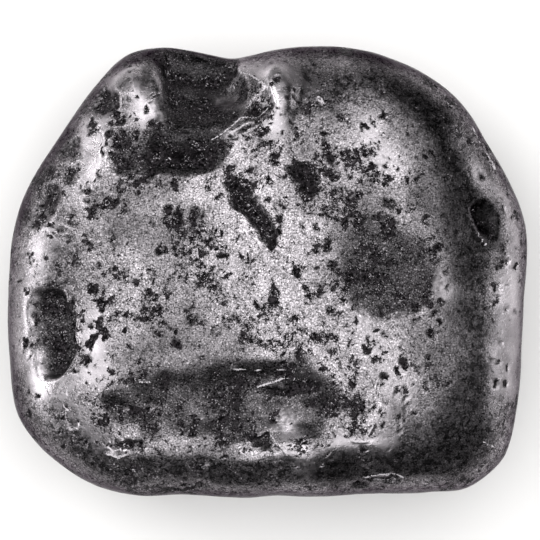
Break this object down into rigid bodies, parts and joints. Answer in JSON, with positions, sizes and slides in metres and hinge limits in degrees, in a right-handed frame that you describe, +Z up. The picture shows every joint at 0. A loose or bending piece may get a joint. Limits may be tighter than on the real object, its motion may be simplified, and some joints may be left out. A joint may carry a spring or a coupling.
{
  "type": "tumbled stone",
  "caption": "Rounded, polished black shungite pebble with hollows and small pits, flat enough underneath to lie still on a table.",
  "frame": {"origin": "on the plane that the stone rests on, under the middle of its bounding box", "axes": "+X along the stone's longest side, +Y towards the side with the edge scoop, +Z up, along the shortest side"},
  "size_m": [0.032, 0.0278, 0.0156],
  "materials": {
    "polished_shungite": "tumble-polished carbon rock with a soft grey metallic sheen, dull in its hollows"
  },
  "bodies": {
    "root": {"shungite_stone": "polished_shungite"}
  },
  "joints": []
}
